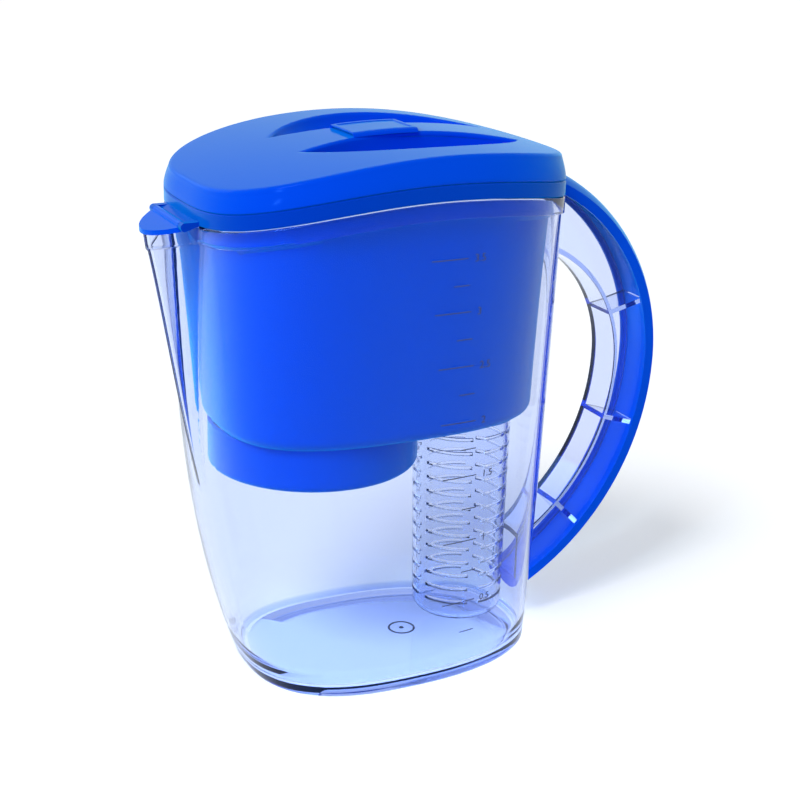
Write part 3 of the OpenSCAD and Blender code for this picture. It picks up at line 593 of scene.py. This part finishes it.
def pocketSkin(name, side, outset, isSpace):
    # rings from the floor up: a rounded floor edge, a wall that steepens, and a rounded brim
    depth, brim, corner = lid["pocketDepth"] + outset, lid["rimRound"], lid["floorRound"]
    floor = lid["crest"] - lid["pocketDepth"] - outset
    rings = []
    for d in np.concatenate([np.linspace(depth, depth - corner, 8), np.linspace(depth - corner, brim, 10)[1:],
            np.linspace(brim, 0, 7)[1:]]):
        share, up = d / depth, depth - d
        draw = corner - math.sqrt(max(0, corner ** 2 - (corner - up) ** 2)) if up < corner else 0
        spread = 0
        if d < brim and isSpace:
            spread = brim * (1 - math.sqrt(1 - (lid["brimReach"] * (1 - d / brim)) ** 2))
        slope = lid["pocketSlope"] * share ** 2 + draw
        plan = pocketPlan(side, outset + spread, slope, lid["pocketUndercut"] * share)
        top = lidZ(plan[:, 0], plan[:, 1]) - (0 if isSpace else lid["wall"] / 2)
        rings.append(np.column_stack([plan, blend(top, floor, share)]))
    if isSpace:
        rings.append(rings[-1] + [0, 0, lid["cutPast"]])
    return skin(name, [shrunk(rings[0], 0.5) - [0, 0, lid["floorDip"]]] + rings)


def makeLid(v):
    corners = np.radians(np.linspace(0, 90, 7))
    topInset, inside = v["lean"] - outline["bandOutset"], v["skirtInset"] + v["wall"]
    band, out, edge = reservoir["band"], outline["bandOutset"], v["edge"]
    rings = [lidRing(inside, v["wall"], s) for s in np.linspace(v["middleShare"], v["edgeShare"], 16)]
    rings += [lidRing(inside, v["wall"] + edge), rimRing(inside, band - v["skirt"])]
    rings += [rimRing(v["skirtInset"], band - v["skirt"]), rimRing(v["skirtInset"], band)]
    low, high = rimRing(-out, band), lidRing(topInset, edge)
    rings += [rimRing(-out + v["bandSoft"], band)]
    for s in np.linspace(v["sideFrom"], 1, 8):
        # the side leans in along a shallow curve
        ring = blend(low, high, s)
        ring[:, :2] = blend(low[:, :2], high[:, :2], s ** v["sideCurve"])
        rings.append(ring)
    rings += [lidRing(topInset + edge * (1 - math.cos(c)), edge * (1 - math.sin(c))) for c in corners[1:]]
    rings += [lidRing(topInset + edge, 0, s) for s in np.linspace(v["edgeShare"], v["middleShare"], 40)]
    piece = skin("lidDome", rings)
    for side in (-1, 1):
        carve(piece, pocketSkin("pocketShell", side, v["wall"], False), "UNION")
    for side in (-1, 1):
        carve(piece, pocketSkin("pocketSpace", side, 0, True), "DIFFERENCE")
    return sharpen(piece, 38)


lidPiece = makeLid(lid)
finishPiece(lidPiece, "lid", "blue_gloss", bluePlastic, "lid_shell")

plate = {
    "forward": 23.8, "length": 32.5, "halfWidth": 14, "rise": 1.9, "thick": 1.3, "lip": 2.6,
    "lipDrop": 2.4, "border": 2.2, "recess": 0.45, "slope": 0.5, "lead": 0.6, "endDrop": 0.35,
}


def makePlate(v):
    # height = the lid's arc, less a rounded lip at the long sides and a shallow field within the border
    x = -v["forward"] + np.linspace(-0.5, 0.5, 112) * v["length"]
    y = np.linspace(-1, 1, 90) * v["halfWidth"]
    gridX, gridY = np.meshgrid(x, y, indexing="ij")
    overLip = np.clip((np.abs(gridY) - (v["halfWidth"] - v["lip"])) / v["lip"], 0, 1)
    lip = v["lipDrop"] * (1 - np.sqrt(1 - 0.98 * overLip ** 2))
    fromEnd = v["length"] / 2 - np.abs(gridX + v["forward"])
    fromSide = v["halfWidth"] - v["lip"] + v["lead"] - np.abs(gridY)
    into = np.clip((np.minimum(fromEnd, fromSide) - v["border"] + v["lead"]) / v["slope"], 0, 1)
    field = v["recess"] * into ** 2 * (3 - 2 * into)
    endRound = v["endDrop"] * (1 - np.clip(fromEnd / v["slope"], 0, 1)) ** 2
    z = lidZ(gridX, 0) + v["rise"] - lip - field - endRound
    points = np.stack([gridX, gridY, z], axis=-1)
    i, j = np.meshgrid(np.arange(len(x) - 1), np.arange(len(y) - 1), indexing="ij")
    a = i * len(y) + j
    faces = np.stack([a, a + len(y), a + len(y) + 1, a + 1], axis=-1).reshape(-1, 4).tolist()
    piece = meshFrom("lidPlate", points * mm, faces)
    body = piece.modifiers.new("body", "SOLIDIFY")
    body.thickness, body.offset = v["thick"] * mm, -1
    settled(piece)
    return sharpen(piece, 50)


platePiece = makePlate(plate)
finishPiece(platePiece, "lid", "blue_gloss", bluePlastic, "lid_plate")
print("lid made")

# flap, infuser and filter

flapPiece = eased(copyOfNode("spoutFlap", "spout_flap"), 0.35, 30)
finishPiece(flapPiece, "flap", "blue_gloss", bluePlastic, "spout_flap")
tubePiece = eased(copyOfNode("infuserTube", "infuser_tube"), 0.35, 40)
finishPiece(tubePiece, "infuser", "clear_blue", clearPlastic, "infuser_tube")
print("infuser made")

# level scale and the mark on the floor

scaleMarks = {
    "litres": [("0.5", 42.4, 7.1), ("1", 75.7, 4.9), ("1.5", 109.6, 2.0), ("2", 137.3, -0.8),
        ("2.5", 164.5, -3.9), ("3", 190.3, -7.0), ("3.5", 214.9, -9.8)],
    "lowest": (25.4, 8.2), "longLine": 18, "shortLine": 8, "lineHeight": 0.45, "lineSteps": 12,
    "stand": 0.16, "sink": -0.05, "digits": 5.0, "digitGap": 3.2, "digitMiddle": 0.35,
}


def wallY(x, z, inset=0.0):
    # half the jug's width at a place and height: the height's share is found by repeating its rule
    share = z / outline["rimHeight"]
    for _ in range(6):
        weight = np.maximum(0, (share - outline["levelShare"]) / (1 - outline["levelShare"])) ** 2
        share = (z + (outline["rimHeight"] - rimZ(x)) * weight) / outline["rimHeight"]
    swelled = 1 - (1 - share) ** outline["swells"][1]
    middle = -blend(outline["baseMid"], outline["rimMid"], swelled)
    front = blend(outline["baseFront"], outline["rimFront"], 1 - (1 - share) ** outline["swells"][0]) + middle
    rear = blend(outline["baseRear"], outline["rimRear"], swelled) - middle
    half = blend(outline["baseHalf"], outline["rimHalf"], swelled)
    ahead = x < middle
    length = np.where(ahead, front, rear)
    power = np.where(ahead, blend(outline["basePowers"][0], outline["rimPowers"][0], swelled),
        blend(outline["basePowers"][1], outline["rimPowers"][1], swelled))
    return half * (1 - (np.abs(x - middle) / length) ** power) ** (1 / power) - inset


def makeLines(v):
    # each line is a low bar that follows the wall: points along it, and 4 corners across
    heights = [mark[1] for mark in v["litres"]]
    ends = [mark[2] for mark in v["litres"]]
    lines = [(z, x, v["longLine"]) for z, x in zip(heights, ends)]
    lines += [((a + b) / 2, (c + d) / 2, v["shortLine"]) for a, b, c, d in
        zip(heights, heights[1:], ends, ends[1:])]
    lines += [(*v["lowest"], v["shortLine"])]
    points, faces, steps = [], [], v["lineSteps"]
    for z, end, length in lines:
        x = end - length * np.linspace(1, 0, steps)
        for up, out in ((-0.5, v["sink"]), (-0.5, 1), (0.5, 1), (0.5, v["sink"])):
            level = np.full_like(x, z + up * v["lineHeight"])
            points.append(np.stack([x, -wallY(x, level) - out * v["stand"], level], axis=-1))
        first = (len(points) - 4) * steps + np.arange(4) * steps
        k = np.arange(steps - 1)
        for side in range(4):
            a, b = first[side] + k, first[(side + 1) % 4] + k
            faces += np.stack([a, a + 1, b + 1, b], axis=-1).tolist()
        faces += [first[::-1].tolist(), (first + steps - 1).tolist()]
    return welded(meshFrom("levelLines", np.concatenate(points) * mm, faces, True), 1e-7, True)


def makeDigits(v):
    pieces = []
    for text, z, end in v["litres"]:
        curve = bpy.data.curves.new("digits", "FONT")
        curve.body, curve.size, curve.extrude, curve.resolution_u = text, v["digits"], v["stand"] / 2, 3
        letter = bpy.data.objects.new("digits", curve)
        bpy.context.scene.collection.objects.link(letter)
        mesh = bpy.data.meshes.new_from_object(letter.evaluated_get(bpy.context.evaluated_depsgraph_get()))
        flat = np.empty(len(mesh.vertices) * 3)
        mesh.vertices.foreach_get("co", flat)
        flat = flat.reshape(-1, 3)
        x, level = end + v["digitGap"] + flat[:, 0], z - v["digits"] * v["digitMiddle"] + flat[:, 1]
        placed = np.stack([x, -wallY(x, level) - flat[:, 2] - v["stand"] / 2, level], axis=-1)
        mesh.vertices.foreach_set("co", (placed * mm).ravel())
        piece = bpy.data.objects.new("digit", mesh)
        bpy.context.scene.collection.objects.link(piece)
        bpy.data.objects.remove(letter)
        pieces.append(piece)
    piece = joined(pieces)
    piece.name = "levelDigits"
    return piece


def scaleInk():
    # pad-printing ink: a thin matt film that reads grey on the clear wall
    material = newMaterial("grey pad-printing ink")
    coords = addNode(material, "ShaderNodeTexCoord")
    wear = addNode(material, "ShaderNodeTexNoise", {"Scale": 700.0, "Detail": 3.0}, Vector=(coords, "Object"))
    matt = addNode(material, "ShaderNodeMapRange", {"To Min": 0.35, "To Max": 0.6}, Value=(wear, "Fac"))
    film = addNode(material, "ShaderNodeBsdfPrincipled", {"Base Color": srgb("#3A4468")},
        Roughness=(matt, "Result"))
    addNode(material, "ShaderNodeOutputMaterial", None, Surface=(film, "BSDF"))
    return material


ink = scaleInk()
finishPiece(makeLines(scaleMarks), "jug", "clear_blue", ink)
finishPiece(makeDigits(scaleMarks), "jug", "clear_blue", ink)

gateMark = {"place": (-4.15, 0), "radius": 6.4, "ringHalf": 0.6, "rise": 0.28, "dot": 1.3}


def makeGateMark(v):
    # the moulding's gate on the floor: a low round ring, and a dot in its middle
    turn = np.radians(np.linspace(0, 180, 9))
    top = outline["floorTop"]
    ring = [(v["radius"] + v["ringHalf"] * math.cos(t), top + v["rise"] * math.sin(t)) for t in turn]
    dome = [(v["dot"] * math.cos(t / 2), top + v["rise"] * math.sin(t / 2)) for t in turn[:-1]]
    piece = lathe("gateRing", ring, v["place"], 72, True)
    return joined([piece, lathe("gateDot", dome, v["place"], 32)])


gatePiece = welded(makeGateMark(gateMark), 1e-7, True)
finishPiece(gatePiece, "jug", "clear_blue", clearPlastic)
print("marks made")

# camera, lights and floor

# angles in degrees, the near clip in metres
camera = {
    "place": (-340.65, -682.2, 383.6), "yaw": 26.04, "pitch": 18.64, "roll": 1.26, "lens": 73.54,
    "sensor": 36, "near": 0.01,
}


def makeCamera(v):
    yaw, pitch, roll = (math.radians(v[k]) for k in ("yaw", "pitch", "roll"))
    ahead = np.array([math.sin(yaw) * math.cos(pitch), math.cos(yaw) * math.cos(pitch), -math.sin(pitch)])
    right = np.array([math.cos(yaw), -math.sin(yaw), 0])
    up = np.cross(right, ahead)
    right, up = right * math.cos(roll) + up * math.sin(roll), -right * math.sin(roll) + up * math.cos(roll)
    data = bpy.data.cameras.new("photoCamera")
    data.lens, data.sensor_width, data.clip_start = v["lens"], v["sensor"], v["near"]
    place = np.eye(4)
    place[:3, 0], place[:3, 1], place[:3, 2], place[:3, 3] = right, up, -ahead, np.array(v["place"]) * mm
    holder = bpy.data.objects.new("photoCamera", data)
    bpy.context.scene.collection.objects.link(holder)
    holder.matrix_world = Matrix(place.tolist())
    bpy.context.scene.camera = holder


# places and sizes in metres, the sun's spread in degrees
lampValues = {
    "key": {"towards": (0.54, 0.32, -0.78), "spread": 20, "strength": 1.65},
    "backSoft": {"place": (-0.75, 1.25, 0.95), "size": (1.1, 0.7), "watts": 6.0, "colour": "#86C8FF"},
    "window": {"place": (-0.75, -0.55, 0.55), "size": (0.08, 0.11), "watts": 1.5, "colour": "#9FDCFF"},
}
lampAim = Vector((0, 0, 0.16))


def makeLamps(values):
    for name, v in values.items():
        if "towards" in v:
            data = bpy.data.lights.new(name, "SUN")
            data.energy, data.angle = v["strength"], math.radians(v["spread"])
            turn = Vector(v["towards"]).to_track_quat("-Z", "Y")
            place = Vector((0, 0, 2))
        else:
            data = bpy.data.lights.new(name, "AREA")
            data.shape, data.energy = "RECTANGLE", v["watts"]
            data.size, data.size_y = v["size"]
            data.color = srgb(v["colour"])[:3]
            place = Vector(v["place"])
            turn = (lampAim - place).to_track_quat("-Z", "Y")
        lamp = bpy.data.objects.new(name, data)
        lamp.location, lamp.rotation_euler = place, turn.to_euler()
        bpy.context.scene.collection.objects.link(lamp)


# the floor's half size in metres
studio = {"floorSize": 8, "paper": "#F2F2F2", "glow": 0.36, "roomLight": 0.32, "background": 1.0}


def seenDirectly(material):
    # 1 for rays from the camera, a mirror-like surface or clear plastic, else 0
    path = addNode(material, "ShaderNodeLightPath")
    first = addNode(material, "ShaderNodeMath", {"operation": "MAXIMUM"})
    second = addNode(material, "ShaderNodeMath", {"operation": "MAXIMUM"})
    material.node_tree.links.new(path.outputs["Is Camera Ray"], first.inputs[0])
    material.node_tree.links.new(path.outputs["Is Glossy Ray"], first.inputs[1])
    material.node_tree.links.new(first.outputs[0], second.inputs[0])
    material.node_tree.links.new(path.outputs["Is Transmission Ray"], second.inputs[1])
    return second


def makeFloor(v):
    # white paper: its own light, plus a glow that only what looks at it sees, so the shadow stays
    floorMaterial = newMaterial("white studio paper, matt")
    seen = seenDirectly(floorMaterial)
    glow = addNode(floorMaterial, "ShaderNodeMath", {"operation": "MULTIPLY"})
    glow.inputs[1].default_value = v["glow"]
    floorMaterial.node_tree.links.new(seen.outputs[0], glow.inputs[0])
    paper = addNode(floorMaterial, "ShaderNodeBsdfPrincipled", {
        "Base Color": srgb(v["paper"]), "Roughness": 0.9, "Specular IOR Level": 0.05,
        "Emission Color": (1, 1, 1, 1)}, Emission_Strength=(glow, "Value"))
    addNode(floorMaterial, "ShaderNodeOutputMaterial", None, Surface=(paper, "BSDF"))
    size = v["floorSize"]
    grid = [(-size, -size, 0), (size, -size, 0), (size, size, 0), (-size, size, 0)]
    floor = meshFrom("studioFloor", grid, [[0, 1, 2, 3]], True)
    floor.data.materials.append(floorMaterial)


def makeWorld(v):
    # an even room for the light that falls on things, and white where it is looked at
    world = bpy.data.worlds.new("studio")
    bpy.context.scene.world = world
    world.use_nodes = True
    world.node_tree.nodes.clear()
    seen = seenDirectly(world)
    level = addNode(world, "ShaderNodeMapRange", {"To Min": v["roomLight"], "To Max": v["background"]},
        Value=(seen, "Value"))
    sky = addNode(world, "ShaderNodeBackground", {"Color": (1, 1, 1, 1)}, Strength=(level, "Result"))
    addNode(world, "ShaderNodeOutputWorld", None, Surface=(sky, "Background"))


makeCamera(camera)
makeLamps(lampValues)
makeFloor(studio)
makeWorld(studio)
bpy.context.scene.view_settings.view_transform = "Standard"
print("stage made")

for node, material in {"filter_housing": whitePlastic, "filter_cap": whitePlastic, "filter_seal": softRing,
        "filter_top_pad": felt, "filter_media": carbon, "filter_bottom_pad": felt,
        "infuser_ring": softRing}.items():
    mesh = nodeObject(node).data
    mesh.materials.clear()
    mesh.materials.append(material)
